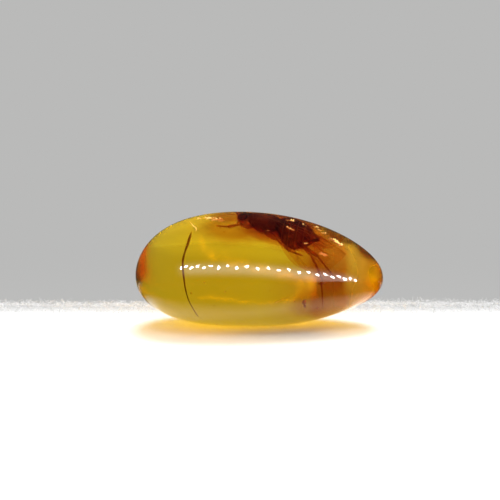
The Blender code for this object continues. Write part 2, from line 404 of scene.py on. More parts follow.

# Thin films on the skin: centre and half sizes in mm, edge softness, raggedness in mm, tint.
# The films named painted shade darken the ridge, the point and the blunt end; the others are tints.
SKIN_TINTS_AND_PAINTED_SHADE = {
    "orange shoulder": ((-2.2, -3.6, 9.0), (3.0, 3.4, 1.35), 0.45, 0.8, (0.60, 0.24, 0.08)),
    "brown by the head": ((-2.4, -1.8, 9.9), (2.2, 2.0, 0.50), 0.35, 0.5, (0.55, 0.28, 0.25)),
    "fringe at the thorax": ((0.9, -3.8, 8.9), (2.5, 3.0, 0.95), 0.45, 0.5, (0.58, 0.22, 0.16)),
    "fringe at the belly": ((2.7, -4.2, 8.2), (2.2, 3.2, 1.00), 0.40, 0.5, (0.74, 0.42, 0.30)),
    "painted shade on the ridge by the insect": ((4.6, -0.5, 9.4), (3.0, 2.6, 0.95), 0.30, 0.7, (0.20, 0.07, 0.04)),
    "painted shade on the ridge towards the point": ((7.6, -0.7, 8.1), (2.6, 2.6, 0.95), 0.30, 0.6, (0.13, 0.06, 0.05)),
    "painted shade at the point": ((9.7, -0.6, 6.7), (2.0, 1.9, 1.05), 0.35, 0.5, (0.12, 0.04, 0.05)),
    "orange-brown window": ((6.1, -4.2, 6.3), (1.75, 4.0, 3.2), 0.25, 0.5, (0.66, 0.25, 0.22)),
    "warm middle": ((5.4, -4.2, 3.6), (4.2, 4.0, 3.6), 0.55, 0.8, (0.74, 0.45, 0.38)),
    "brown lower side": ((6.0, -4.2, 2.6), (1.8, 4.0, 2.8), 0.25, 0.5, (0.60, 0.24, 0.10)),
    "brown patch": ((4.3, -4.6, 2.7), (1.6, 2.4, 1.4), 0.35, 0.8, (0.66, 0.42, 0.28)),
    "painted shade at the blunt end": ((-10.9, -0.6, 4.3), (1.1, 2.8, 1.9), 0.40, 0.5, (0.18, 0.75, 0.80)),
}
MATT_PATCH = ((6.6, 4.7, 3.4), (1.6, 1.6, 1.6), 0.4, 0.4)  # the unpolished place on the far side
MATT_ROUGHNESS = 0.30


def absorb(tree, taken):
    """Takes this much red, green and blue light away for each metre of the way through."""
    density = DENSITY_MARGIN * max(taken)
    kept = [1.0 - part / density for part in taken]
    depth = add_node(tree, "VolumeAbsorption", {"Color": (*kept, 1.0), "Density": density})
    tree.links.new(depth.outputs[0], tree.nodes["Material Output"].inputs["Volume"])


def make_amber():
    material, tree, shader = new_material("amber", IOR=AMBER_IOR, Transmission_Weight=1.0)
    colour = (1.0, 1.0, 1.0, 1.0)
    for *place, tint in SKIN_TINTS_AND_PAINTED_SHADE.values():
        colour = add_node(
            tree, "Mix", {0: ragged_mask(tree, *place), 6: colour, 7: (*tint, 1.0)}, data_type="RGBA",
            blend_type="MULTIPLY",
        ).outputs[2]
    tree.links.new(colour, shader.inputs["Base Color"])
    inside = add_node(tree, "NewGeometry").outputs["Backfacing"]
    matt = add_node(
        tree, "Math", {0: ragged_mask(tree, *MATT_PATCH), 1: MATT_ROUGHNESS, 2: INNER_HAZE},
        operation="MULTIPLY_ADD",
    )
    polish = add_node(tree, "MapRange", {
        "Value": inside, "To Min": SKIN_ROUGHNESS, "To Max": matt.outputs[0],
    })
    tree.links.new(polish.outputs[0], shader.inputs["Roughness"])
    passed = add_node(tree, "BsdfTransparent", {"Color": SHADOW_TINT})
    shadow = add_node(tree, "LightPath").outputs["Is Shadow Ray"]
    skin = add_node(tree, "MixShader", {0: shadow, 1: shader.outputs[0], 2: passed.outputs[0]})
    tree.links.new(skin.outputs[0], tree.nodes["Material Output"].inputs["Surface"])
    absorb(tree, TAKEN_PER_METRE)
    return material


amber = make_amber()
stone = finish_piece("amber_stone", stone_mesh, [amber])
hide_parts("amber_base", "amber_crown")

# %% [markdown]
# ## Building the insect
# The insect is built in its own frame, head towards -X and back up, and then turned and set into the
# stone with one matrix. Almost everything on an insect is a tube that swells and narrows: legs, feelers,
# wing veins, hairs, even the abdomen. So one tool skins rings of points along a path, and another makes
# balls. A metaball would also give such a body, but rings keep the joints crisp.

# %% Tubes and balls
INSECT_PLACE = mm(0.15, 0.25, 7.72)
INSECT_TURNS = ((-8.0, "Z"), (9.0, "Y"), (-10.0, "X"))  # degrees

into_stone = Matrix.Translation(INSECT_PLACE)
for angle, axis in INSECT_TURNS:
    into_stone = into_stone @ Matrix.Rotation(math.radians(angle), 4, axis)


def add_tube(bm, points, radii, sides, flatness=1.0):
    """A closed tube through the points. flatness under 1 squeezes it across its first cross direction."""
    rings = []
    cross = None
    for index, (point, radius) in enumerate(zip(points, radii)):
        before = points[max(index - 1, 0)]
        after = points[min(index + 1, len(points) - 1)]
        way = (after - before).normalized()
        start = cross or (Vector((0, 0, 1)) if abs(way.z) < 0.9 else Vector((0, 1, 0)))
        cross = (start - way * start.dot(way)).normalized()
        side = way.cross(cross)
        ring = []
        for step in range(sides):
            turn = 2.0 * math.pi * step / sides
            spoke = cross * math.cos(turn) * flatness + side * math.sin(turn)
            ring.append(bm.verts.new(point + spoke * radius))
        rings.append(ring)
    faces = []
    for lower, upper in zip(rings, rings[1:]):
        for step in range(sides):
            after = (step + 1) % sides
            faces.append(bm.faces.new((lower[step], lower[after], upper[after], upper[step])))
    faces.append(bm.faces.new(rings[0][::-1]))
    faces.append(bm.faces.new(rings[-1]))
    return faces


def add_ball(bm, centre, half_sizes, sides):
    """An ellipsoid, and the vertices it is made of."""
    matrix = Matrix.Translation(centre) @ Matrix.Diagonal(half_sizes).to_4x4()
    made = bmesh.ops.create_uvsphere(
        bm, u_segments=sides, v_segments=sides * 2 // 3, radius=1.0, matrix=matrix
    )
    return made["verts"]


def along_curve(points, count):
    """count points on a smooth curve through the given points."""
    made = []
    for step in range(count):
        place = step / (count - 1) * (len(points) - 1)
        index = min(int(place), len(points) - 2)
        share = place - index
        p1, p2 = points[index], points[index + 1]
        p0 = points[index - 1] if index else p1 * 2.0 - p2
        p3 = points[index + 2] if index + 2 < len(points) else p2 * 2.0 - p1
        bend = (p0 * 2.0 - p1 * 5.0 + p2 * 4.0 - p3) * share**2
        twist = (p1 * 3.0 - p0 - p2 * 3.0 + p3) * share**3
        made.append(0.5 * (p1 * 2.0 + (p2 - p0) * share + bend + twist))
    return made


def fill_sheet(bm, rows):
    """Faces between rows of vertices."""
    for row, after in zip(rows, rows[1:]):
        for step in range(len(row) - 1):
            bm.faces.new((row[step], row[step + 1], after[step + 1], after[step]))


def fill_double_sheet(bm, sheets):
    """Fills two sheets that lie one over the other, and closes the gap along their rims."""
    rims = []
    for rows in sheets:
        fill_sheet(bm, rows)
        front = [row[0] for row in rows]
        back = [row[-1] for row in rows]
        rims.append(front + rows[-1][1:-1] + back[::-1] + rows[0][1:-1][::-1])
    upper, lower = rims
    for index, vertex in enumerate(upper):
        after = (index + 1) % len(upper)
        bm.faces.new((vertex, upper[after], lower[after], lower[index]))


print("the insect's frame starts at", [round(v / MM, 2) for v in INSECT_PLACE], "mm")

# %% [markdown]
# ## Chitin
# An insect's shell is a tough dark skin. Long in amber it clears, so that light comes through it in a
# deep red brown, and plates, rings and folds show one behind the other. A solid black shell would hide
# all that. Three finishes are enough: the thick plates; the browner skin of the head, joints and hair;
# and the thin clear skin of the legs and feelers. All get the fine pits of real cuticle.

# %% Chitin materials


def make_chitin(name, colour, cloud_colour, roughness, scale, clearness):
    material, tree, shader = new_material(
        name, Roughness=roughness, IOR=1.02, Transmission_Weight=clearness,
    )
    add_mottle(tree, shader, colour, cloud_colour, scale, 0.35)
    add_grain(tree, shader, scale=22000.0, pits=0.6, strength=0.5, distance=0.012 * MM)
    return material


dark_chitin = make_chitin("dark_chitin", (0.32, 0.090, 0.036), (0.52, 0.17, 0.055), 0.38, 2500.0, 0.60)
joint_chitin = make_chitin("joint_chitin", (0.70, 0.34, 0.12), (0.82, 0.46, 0.18), 0.45, 4000.0, 0.85)
thin_chitin = make_chitin("thin_chitin", (0.62, 0.30, 0.11), (0.78, 0.42, 0.16), 0.45, 4000.0, 0.90)
print("chitin:", dark_chitin.name, joint_chitin.name, thin_chitin.name)

# %% [markdown]
# ## Thorax and waist
# The thorax is the insect's engine room: a hard box for the flight muscles. From above it shows a big
# front plate with two grooves, a seam, and a small rounded plate behind. They could be modelled as
# separate lumps, but they are grown together, so here one ball is dented along the grooves and seams.

# %% Thorax
THORAX = (mm(0.0, 0.0, 0.0), mm(1.35, 1.05, 1.12))
WAIST = (mm(1.35, 0.0, -0.14), mm(0.55, 0.60, 0.62))
WING_SHELLS = (mm(0.10, 0.78, 0.62), mm(0.24, 0.17, 0.15))  # the small shells that cover the wing roots
GROOVE = 0.055 * MM  # depth of grooves and seams
BODY_SIDES = 72


def dent(distance, width):
    """How deep a groove is at a distance from its line: 1 on it, falling smoothly to 0."""
    return math.exp(-((distance / width) ** 2))


def add_carved_ball(bm, centre, half_sizes, sides, lump_height, lump_span, groove_depth):
    """A slightly lumpy ball with grooves, whose depth is given for each point of the unit ball."""
    for vertex in add_ball(bm, centre, half_sizes, sides):
        unit = Vector([value / size for value, size in zip(vertex.co - centre, half_sizes)])
        lumps = lump_height * noise.noise(unit * lump_span)
        vertex.co += unit * (lumps - groove_depth(unit))


def thorax_groove(unit):
    on_back = ease((unit.z - 0.1) / 0.4)
    collar = dent(unit.x + 0.70 - 0.10 * unit.y**2, 0.035)
    seam = dent(unit.x - 0.42 - 0.12 * unit.y**2, 0.035) * on_back
    furrows = dent(abs(unit.y) - 0.34 - 0.12 * unit.x, 0.035) * on_back * ease((0.42 - unit.x) / 0.1)
    flank = dent(unit.x + 0.1 + 0.5 * unit.z, 0.05) * (1.0 - on_back)
    scale = dent(unit.x - 0.78, 0.03) * on_back
    return GROOVE * min(collar + seam + furrows + flank + scale, 1.0)


body_mesh = bmesh.new()
add_carved_ball(body_mesh, *THORAX, BODY_SIDES, 0.02 * MM, 5.0, thorax_groove)
add_ball(body_mesh, *WAIST, BODY_SIDES // 2)
for side in (-1, 1):
    shoulder, half_sizes = WING_SHELLS
    place = Vector((shoulder.x - 0.25 * MM, side * shoulder.y, shoulder.z))
    add_ball(body_mesh, place, half_sizes, 18)
print("thorax:", len(body_mesh.verts), "points")

# %% [markdown]
# ## Abdomen
# The abdomen is a stack of rings that slide into each other like a telescope. Each ring flares slightly
# and ends in a free edge over the next one. Turning a saw-toothed profile would give perfect circles;
# rings skinned one by one can be a little flatter, and each edge gets its own browner skin.

# %% Abdomen
ABDOMEN_START = mm(1.25, 0.0, -0.16)
ABDOMEN_LENGTH = 3.6 * MM
ABDOMEN_RADIUS = 1.36 * MM
ABDOMEN_RINGS = 6
ABDOMEN_STEP = 0.07 * MM
ABDOMEN_STUB = 0.06
ABDOMEN_SWELL_POWER = 0.72
ABDOMEN_DROOP = math.radians(5.0)
RING_STEPS = 10
EDGE_STEPS = 2  # of them, at the hind edge, in the browner skin

abdomen_way = Vector((math.cos(ABDOMEN_DROOP), 0.0, -math.sin(ABDOMEN_DROOP)))


def abdomen_radius(share):
    """The radius at a share of the length, with each ring's flare."""
    swell = (ABDOMEN_STUB + (1.0 - ABDOMEN_STUB) * share) ** ABDOMEN_SWELL_POWER
    within = (share * ABDOMEN_RINGS) % 1.0
    flare = ABDOMEN_STEP * (ease(within * 1.15) if within < 0.96 else 0.0)
    return max(ABDOMEN_RADIUS * math.sin(math.pi * swell), 0.02 * MM) + flare * (1.0 - share**4)


def make_abdomen(bm):
    steps = ABDOMEN_RINGS * RING_STEPS
    ring_ends = [ring / ABDOMEN_RINGS - 0.004 for ring in range(1, ABDOMEN_RINGS)]
    shares = sorted([step / steps for step in range(steps)] + ring_ends) + [0.99]
    points = [ABDOMEN_START + abdomen_way * share * ABDOMEN_LENGTH for share in shares]
    faces = add_tube(bm, points, [abdomen_radius(share) for share in shares], BODY_SIDES, flatness=0.97)
    for face in faces:
        along = (face.calc_center_median() - ABDOMEN_START).dot(abdomen_way) / ABDOMEN_LENGTH
        within = (along * ABDOMEN_RINGS) % 1.0
        face.material_index = int(within > 1.0 - EDGE_STEPS / RING_STEPS)
    sheath = [ABDOMEN_START + abdomen_way * place * MM for place in (3.4, 3.55, 3.62)]
    add_tube(bm, sheath, [0.16 * MM, 0.10 * MM, 0.03 * MM], 12)


make_abdomen(body_mesh)
print("abdomen:", ABDOMEN_RINGS, "rings")

# %% [markdown]
# ## Head and eyes
# The head is a short capsule with the mouthparts below and three simple eyes on top. The two big eyes
# are made of hundreds of lenses. Drawing them with a bump would do for a picture; poking every face of
# a fine ball outwards gives real little domes, which survive in the mesh as well.

# %% Head and eyes
HEAD = (mm(-1.60, 0.0, -0.10), mm(0.56, 0.84, 0.70))
EYE = (mm(-1.64, 0.56, 0.06), mm(0.38, 0.36, 0.46))
SIMPLE_EYES = ((-0.42, 0.0, 0.92), (-0.12, 0.26, 0.96), (-0.12, -0.26, 0.96))  # in head half sizes
JAW = ((-1.72, 0.30, -0.55), (-1.92, 0.30, -0.80), (-2.00, 0.14, -0.98))  # bent inwards, in mm
JAW_RADII = (0.13, 0.13, 0.12, 0.10, 0.08, 0.05, 0.015)
TONGUE = ((-1.60, 0, -0.70), (-1.72, 0, -0.98), (-1.62, 0, -1.22))
TONGUE_RADII = (0.14, 0.12, 0.10, 0.08, 0.06, 0.02)
LENS_RISE = 0.012 * MM


def face_seam(unit):
    return 0.5 * GROOVE * dent(math.hypot(unit.y, unit.z + 0.35) - 0.42, 0.05) * ease(-unit.x - 0.3)


def add_limb(bm, points, radii, sides):
    """A tube along a smooth curve, with one radius in mm for each of its points."""
    add_tube(bm, along_curve(points, len(radii)), [radius * MM for radius in radii], sides)


def make_head(bm):
    centre, half_sizes = HEAD
    add_carved_ball(bm, centre, half_sizes, 48, 0.012 * MM, 6.0, face_seam)
    for place in SIMPLE_EYES:
        add_ball(bm, centre + Vector(place) * half_sizes, mm(0.06, 0.06, 0.06), 12)
    for side in (-1, 1):
        add_limb(bm, [mm(x, side * y, z) for x, y, z in JAW], JAW_RADII, 10)
    add_limb(bm, [mm(*place) for place in TONGUE], TONGUE_RADII, 8)


def make_eyes(bm):
    for side in (-1, 1):
        centre = Vector((EYE[0].x, side * EYE[0].y, EYE[0].z))
        matrix = Matrix.Translation(centre) @ Matrix.Diagonal(EYE[1]).to_4x4()
        ball = bmesh.ops.create_icosphere(bm, subdivisions=4, radius=1.0, matrix=matrix)
        faces = {face for vertex in ball["verts"] for face in vertex.link_faces}
        for vertex in bmesh.ops.poke(bm, faces=list(faces))["verts"]:
            vertex.co += (vertex.co - centre).normalized() * LENS_RISE


plates = set(body_mesh.faces)
make_head(body_mesh)
for face in set(body_mesh.faces) - plates:
    face.material_index = 1
body = finish_piece("insect_body", body_mesh, [dark_chitin, joint_chitin], matrix=into_stone)
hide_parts("insect")

eye_glaze, *eye_nodes = new_material("eye_glaze", Roughness=0.22, IOR=1.02, Transmission_Weight=0.6)
add_mottle(*eye_nodes, (0.22, 0.045, 0.020), (0.45, 0.12, 0.04), 3000.0, 0.4)
eye_mesh = bmesh.new()
make_eyes(eye_mesh)
finish_piece("insect_eyes", eye_mesh, [eye_glaze], smooth=False, matrix=into_stone)

# %% [markdown]
# ## Legs
# Each leg has the same parts: a hip piece, a strong thigh, a slimmer shin with spines, and a foot of five
# small beads that ends in two claws. Only lengths and angles differ from leg to leg, so one function
# makes any of them. The thigh, shin and beads are spindles: tubes with a list of how thick they are.

# %% Legs
LEG_LENGTHS = (1.45 * MM, 1.55 * MM, 1.20 * MM)
HIP_DROP = -0.80 * MM
HIP_OUT = 0.45 * MM
# Side, hip's place along the body, scale, swing in degrees, and how thigh, shin and foot rise in degrees.
LEGS = {
    "fore_near": (-1, -0.75 * MM, 0.72, -64.0, (8.0, -16.0, 4.0)),
    "mid_near": (-1, 0.10 * MM, 1.00, 64.0, (-10.0, -16.0, 0.0)),
    "hind_near": (-1, 0.80 * MM, 1.45, 80.0, (-2.0, -14.0, -32.0)),
    "fore_far": (1, -0.75 * MM, 0.85, -40.0, (8.0, -34.0, -6.0)),
    "mid_far": (1, 0.10 * MM, 1.00, 30.0, (2.0, -40.0, -18.0)),
    "hind_far": (1, 0.80 * MM, 1.15, 66.0, (-10.0, -28.0, -40.0)),
}
HIP = ((0.0, 0.26), (0.6, 0.22), (1.0, 0.10))  # share of the length, radius in mm
THIGH = ((0.0, 0.10), (0.10, 0.17), (0.35, 0.25), (0.65, 0.21), (0.90, 0.14), (1.0, 0.08))
SHIN = ((0.0, 0.07), (0.06, 0.12), (0.45, 0.13), (0.80, 0.17), (0.95, 0.16), (1.0, 0.07))
BEAD = ((0.0, 0.045), (0.15, 0.070), (0.80, 0.085), (1.0, 0.045))
FOOT_JOINTS = (0.0, 0.40, 0.56, 0.69, 0.80, 1.0)
SPINES = 9
CLAW_RADII = (0.035, 0.03, 0.024, 0.015, 0.004)


def limb_points(start, side, swing, lengths, rises):
    """The joints of a limb. It swings forward or back from the side, and each part rises by its angle."""
    points = [start]
    for length, rise in zip(lengths, rises):
        level = math.cos(rise)
        way = Vector((math.sin(swing) * level, side * math.cos(swing) * level, math.sin(rise)))
        points.append(points[-1] + way * length)
    return points


def add_spindle(bm, start, end, profile, sides=14, flatness=1.0):
    """A tube from start to end whose thickness follows the profile."""
    shares = [step / 12 for step in range(13)]
    radii = []
    for share in shares:
        for (share_a, radius_a), (share_b, radius_b) in zip(profile, profile[1:]):
            if share <= share_b:
                between = ease((share - share_a) / (share_b - share_a))
                radii.append((radius_a + (radius_b - radius_a) * between) * MM)
                break
    add_tube(bm, [start.lerp(end, share) for share in shares], radii, sides, flatness)


def make_leg(bm, side, hip_along, scale, swing, rises, chance):
    hip, knee, ankle, toe = limb_points(
        Vector((hip_along, side * HIP_OUT, HIP_DROP)), side, math.radians(swing),
        [length * scale for length in LEG_LENGTHS], [math.radians(rise) for rise in rises],
    )
    inner = Vector((hip.x, 0.4 * hip.y, hip.z + 0.35 * MM))
    add_spindle(bm, inner, hip + (knee - hip) * 0.08, HIP)
    add_spindle(bm, hip, knee, THIGH)
    add_spindle(bm, knee, ankle, SHIN, flatness=0.8)
    shin_way = (ankle - knee).normalized()
    for spine in range(SPINES):
        root = knee.lerp(ankle, 0.30 + 0.66 * spine / (SPINES - 1))
        out = Vector([chance.uniform(-1.0, 1.0) for _ in range(3)])
        out = (out - shin_way * out.dot(shin_way)).normalized()
        tip = root + (out * 0.8 + shin_way) * 0.20 * MM
        add_tube(bm, [root, root.lerp(tip, 0.6), tip], [0.018 * MM, 0.012 * MM, 0.003 * MM], 4)
    for start, end in zip(FOOT_JOINTS, FOOT_JOINTS[1:]):
        add_spindle(bm, ankle.lerp(toe, start), ankle.lerp(toe, end), BEAD, sides=10)
    foot_way = (toe - ankle).normalized()
    spread = foot_way.cross(Vector((0.0, 0.0, 1.0))).normalized()
    for turn in (-1, 1):
        claw = [toe, toe + foot_way * 0.10 * MM + spread * turn * 0.09 * MM,
                toe + foot_way * 0.12 * MM + spread * turn * 0.10 * MM - mm(0, 0, 0.08)]
        add_limb(bm, claw, CLAW_RADII, 6)


leg_mesh = bmesh.new()
leg_chance = random.Random(3)
for settings in LEGS.values():
    make_leg(leg_mesh, *settings, leg_chance)
finish_piece("insect_legs", leg_mesh, [thin_chitin], matrix=into_stone)

# %% [markdown]
# ## Feelers
# An elbowed feeler is a long first joint, and then a whip of ten short beads. A straight rod would be
# less work, but it would miss the little bends between the beads.

# %% Feelers
FEELER_LENGTHS = (0.70 * MM, 1.20 * MM)
FEELER_ROOT = Vector((-0.8, 0.3, 0.3))  # in head half sizes
FEELER_SWING = math.radians(-60.0)
FEELER_RISES = (math.radians(10.0), math.radians(-22.0))
WHIP_BEADS = 10
WHIP_BEND = 0.12 * MM
WHIP_BEAD = ((0.0, 0.035), (0.25, 0.055), (0.80, 0.060), (1.0, 0.035))
FIRST_JOINT = ((0.0, 0.05), (0.1, 0.075), (0.8, 0.065), (1.0, 0.04))


def make_feeler(bm, side):
    centre, half_sizes = HEAD
    root = centre + Vector((1.0, side, 1.0)) * FEELER_ROOT * half_sizes
    root, elbow, tip = limb_points(root, side, FEELER_SWING, FEELER_LENGTHS, FEELER_RISES)
    add_spindle(bm, root, elbow, FIRST_JOINT, sides=10)
    bent = elbow.lerp(tip, 0.5) + Vector((0.0, 0.0, WHIP_BEND))
    stops = along_curve([elbow, bent, tip], WHIP_BEADS + 1)
    for start, end in zip(stops, stops[1:]):
        add_spindle(bm, start, end, WHIP_BEAD, sides=8)


feeler_mesh = bmesh.new()
for side in (-1, 1):
    make_feeler(feeler_mesh, side)
finish_piece("insect_feelers", feeler_mesh, [thin_chitin], matrix=into_stone)

# %% [markdown]
# ## Wings
# A wing is a film thinner than a hair, held open by veins. The film is a sheet of quads between a nearly
# straight leading edge and a full trailing edge, with a gentle pleat, and a second sheet just below it
# closes the mesh. The veins are tubes laid on the film, given by how far out and how far back they run.
# In amber the film only tints what lies behind it, so it has no bending power of its own.

# %% Wing shape
WING_ROOT = mm(0.10, 0.66, 0.66)
WINGS = {  # length, greatest width, side, span direction, direction across the film
    "fore_near": (7.7 * MM, 3.2 * MM, -1, Vector((0.975, -0.10, -0.14)), Vector((0.14, -0.24, 0.95))),
    "hind_near": (6.5 * MM, 2.5 * MM, -1, Vector((0.93, -0.14, -0.28)), Vector((0.27, -0.22, 0.94))),
    "fore_far": (7.3 * MM, 3.0 * MM, 1, Vector((0.92, 0.36, -0.10)), Vector((-0.34, 0.82, 0.44))),
    "hind_far": (5.6 * MM, 2.2 * MM, 1, Vector((0.80, 0.56, -0.18)), Vector((-0.58, 0.78, 0.24))),
}
FILM = 0.03 * MM
PLEATS = 3.5
PLEAT_DEPTH = 0.05 * MM
OUT_STEPS = 56
BACK_STEPS = 18
# Veins: the radius at the root in mm, and (out, back) places, 0 to 1 each way.
FORE_VEINS = (
    (0.050, ((0.0, 0.02), (0.3, 0.01), (0.6, 0.01), (0.85, 0.01), (0.99, 0.05))),
    (0.045, ((0.0, 0.15), (0.25, 0.13), (0.50, 0.12), (0.62, 0.08), (0.80, 0.03))),
    (0.034, ((0.0, 0.25), (0.20, 0.32), (0.42, 0.38), (0.66, 0.42), (0.90, 0.55))),
    (0.030, ((0.50, 0.12), (0.58, 0.26), (0.72, 0.30), (0.88, 0.20), (0.94, 0.08))),
    (0.030, ((0.20, 0.32), (0.34, 0.50), (0.55, 0.62), (0.80, 0.80))),
    (0.028, ((0.0, 0.60), (0.15, 0.62), (0.34, 0.72), (0.46, 0.95))),
    (0.024, ((0.42, 0.38), (0.46, 0.50), (0.47, 0.58))),
    (0.024, ((0.58, 0.26), (0.60, 0.40), (0.62, 0.65))),
    (0.022, ((0.72, 0.30), (0.74, 0.42), (0.76, 0.48))),
    (0.020, ((0.30, 0.13), (0.32, 0.25), (0.33, 0.35))),
)
HIND_VEINS = (
    (0.040, ((0.0, 0.02), (0.3, 0.01), (0.6, 0.02), (0.9, 0.02), (0.99, 0.05))),
    (0.030, ((0.0, 0.20), (0.30, 0.22), (0.60, 0.30), (0.88, 0.42))),
    (0.026, ((0.10, 0.22), (0.30, 0.52), (0.55, 0.72), (0.72, 0.92))),
    (0.022, ((0.45, 0.26), (0.47, 0.45), (0.46, 0.66))),
    (0.022, ((0.0, 0.60), (0.18, 0.72), (0.32, 0.95))),
)
WING_SPOT = ((0.52, 0.03), (0.56, 0.10), (0.62, 0.09), (0.68, 0.02))  # out, radius in mm


def wing_point(length, width, out, back):
    """A point of the film: out from root to tip, back from the leading to the trailing edge."""
    lead = 0.16 * width * math.sin(math.pi * out)
    if out <= 0.0:
        trail = -0.12 * width
    else:
        trail = -width * (0.10 * (1.0 - out) + 0.84 * math.sin(math.pi * min(out, 1.0) ** 1.25) ** 0.8)
    pleat = PLEAT_DEPTH * math.sin(2.0 * math.pi * PLEATS * back) * (1.0 - 0.7 * out)
    sag = -0.10 * MM * back**2 * math.sin(math.pi * out)
    ripple = 0.03 * MM * noise.noise(Vector((out * 5.0, back * 3.0, width / MM)))
    return Vector((out * length, lead + (trail - lead) * back, pleat + sag + ripple))


def wing_matrix(side, span, chord):
    """From the wing's own frame to the insect's."""
    x_axis = span.normalized()
    z_axis = x_axis.cross(chord).normalized()
    turned = Matrix((x_axis, z_axis.cross(x_axis), z_axis)).transposed().to_4x4()
    return Matrix.Translation(Vector((WING_ROOT.x, side * WING_ROOT.y, WING_ROOT.z))) @ turned


def make_film(length, width):
    bm = bmesh.new()
    sheets = []
    for half in (0.5, -0.5):
        lift = Vector((0.0, 0.0, half * FILM))
        sheets.append([
            [
                bm.verts.new(wing_point(length, width, 0.997 * out / OUT_STEPS, back / BACK_STEPS) + lift)
                for back in range(BACK_STEPS + 1)
            ] for out in range(OUT_STEPS + 1)
        ])
    fill_double_sheet(bm, sheets)
    return bm


def make_veins(bm, length, width, veins, matrix):
    for radius, places in veins:
        path = along_curve([Vector((*place, 0.0)) for place in places], 6 * len(places))
        points = [matrix @ wing_point(length, width, place.x, place.y) for place in path]
        add_tube(bm, points, [radius * MM * (1.0 - 0.55 * place.x) for place in path], 7)


print("wings:", ", ".join(WINGS))

# %% Wing materials and pieces
WING_SMOKE = (0.92, 0.74, 0.50)
WING_CLOUD = (0.80, 0.50, 0.24)

wing_film, *film_nodes = new_material("wing_film", Roughness=0.18, IOR=1.0, Transmission_Weight=1.0)
add_mottle(*film_nodes, WING_SMOKE, WING_CLOUD, 450.0, 0.35)
add_grain(*film_nodes, scale=9000.0, pits=0.0, strength=0.3, distance=0.01 * MM)
vein_mesh = bmesh.new()
for wing, (length, width, side, span, chord) in WINGS.items():
    matrix = wing_matrix(side, span, chord)
    film_mesh = make_film(length, width)
    film_mesh.transform(matrix)
    finish_piece("wing_" + wing, film_mesh, [wing_film], matrix=into_stone)
    if wing.startswith("hind"):
        make_veins(vein_mesh, length, width, HIND_VEINS, matrix)
        continue
    make_veins(vein_mesh, length, width, FORE_VEINS, matrix)
    spot = [matrix @ wing_point(length, width, out, 0.05) for out, _ in WING_SPOT]
    add_tube(vein_mesh, spot, [radius * MM for _, radius in WING_SPOT], 10, flatness=0.5)
finish_piece("wing_veins", vein_mesh, [joint_chitin], matrix=into_stone)

# %% [markdown]
# ## Hair
# Most of the body carries short hair, longest on the thorax. Blender's hair curves would be the usual
# way, but a mesh of thin three-sided spikes can be exported and measured. Roots are picked by area, so
# that each part is evenly covered, whatever the size of its faces.

# %% Hair
HAIR_RADIUS = 0.010 * MM
HAIRS = {  # count, length in mm, how far it leans towards the tail
    "thorax": (1500, 0.30, 0.5),
    "head": (500, 0.18, 0.3),
    "abdomen": (1500, 0.22, 1.2),
}
HEAD_END = -1.1 * MM
THORAX_END = 0.9 * THORAX[1].x


def hair_owner(point):
    """Which part of the body a point of it, in the insect's frame, belongs to."""
    if point.x < HEAD_END:
        return "head"
    return "thorax" if point.x < THORAX_END else "abdomen"


def plant_hair(bm, faces, owner, chance):
    count, length, lean = HAIRS[owner]
    places = [face for face in faces if hair_owner(face.calc_center_median()) == owner]
    for face in chance.choices(places, weights=[face.calc_area() for face in places], k=count):
        root = face.calc_center_median() - face.normal * 0.02 * MM
        stray = Vector([chance.uniform(-0.35, 0.35) for _ in range(3)])
        way = (face.normal + Vector((lean, 0.0, 0.0)) + stray).normalized()
        reach = length * MM * chance.uniform(0.5, 1.0)
        bend = Vector((0.25 * lean, 0.0, -0.15)) * reach
        points = [root, root + way * reach * 0.5, root + way * reach + bend]
        add_tube(bm, points, [HAIR_RADIUS, HAIR_RADIUS * 0.7, HAIR_RADIUS * 0.15], 3)


skin_mesh = bmesh.new()
skin_mesh.from_mesh(body.data)
skin_mesh.transform(into_stone.inverted())
skin_mesh.normal_update()
hair_mesh = bmesh.new()
hair_chance = random.Random(11)
for owner in HAIRS:
    plant_hair(hair_mesh, skin_mesh.faces, owner, hair_chance)
skin_mesh.free()
finish_piece("insect_hair", hair_mesh, [joint_chitin], matrix=into_stone)

# %% [markdown]
# ## Marks in the resin
# The resin next to the insect has darkened where its juices seeped out: a reddish cloud without a hard
# edge. A cloud could be a smoky volume, but a stain is clear. So it is a soft lump that bends no light
# and only takes some away, blue and green first.

# %% Seeped stain
STAIN_TAKEN = Vector((90.0, 330.0, 560.0))  # red, green, blue light lost per metre
STAINS = {  # centre in the insect's frame, half sizes, both in mm
    "body_stain": ((0.9, 0.0, -0.15), (3.2, 1.7, 1.45)),
    "tail_stain": ((3.2, -0.2, -0.30), (2.2, 1.5, 1.35)),
}

seeped, seeped_tree, _ = new_material(
    "seeped_stain", Base_Color=(1.0, 0.97, 0.95, 1.0), Roughness=0.0, IOR=1.0, Transmission_Weight=1.0,
)
absorb(seeped_tree, STAIN_TAKEN)
for name, (centre, half_sizes) in STAINS.items():
    stain_mesh = bmesh.new()
    bmesh.ops.create_icosphere(stain_mesh, subdivisions=5, radius=1.0)
    for vertex in stain_mesh.verts:
        unit = vertex.co.copy()
        lumps = 1.0 + 0.22 * noise.noise(unit * 1.7 + Vector(centre)) + 0.08 * noise.noise(unit * 5.0)
        vertex.co = (Vector(centre) + unit * Vector(half_sizes) * lumps) * MM
    finish_piece(name, stain_mesh, [seeped], matrix=into_stone)

# %% [markdown]
# ## A healed crack
# Near the blunt end an old crack runs down from the crown. Resin filled it again, so it is a thin brown
# sheet that stands on edge under the skin: a fine dark line from the front, a faint curved blade from
# the side. A dark stroke on the skin would be easier, but it would have no depth to look into.

# %% Healed crack
CRACK_PATH = (  # x in mm, degrees above the girdle
    (-5.90, 58.0), (-6.18, 44.0), (-6.52, 28.0), (-6.47, 11.0), (-6.15, -14.0), (-5.30, -43.0),
)
CRACK_DEPTH = 1.3 * MM
CRACK_THICKNESS = (0.24 * MM, 0.07 * MM)  # near the crown, and lower down
CRACK_UNDER_SKIN = 0.03 * MM
CRACK_ROWS = 60
CRACK_STEPS = 8


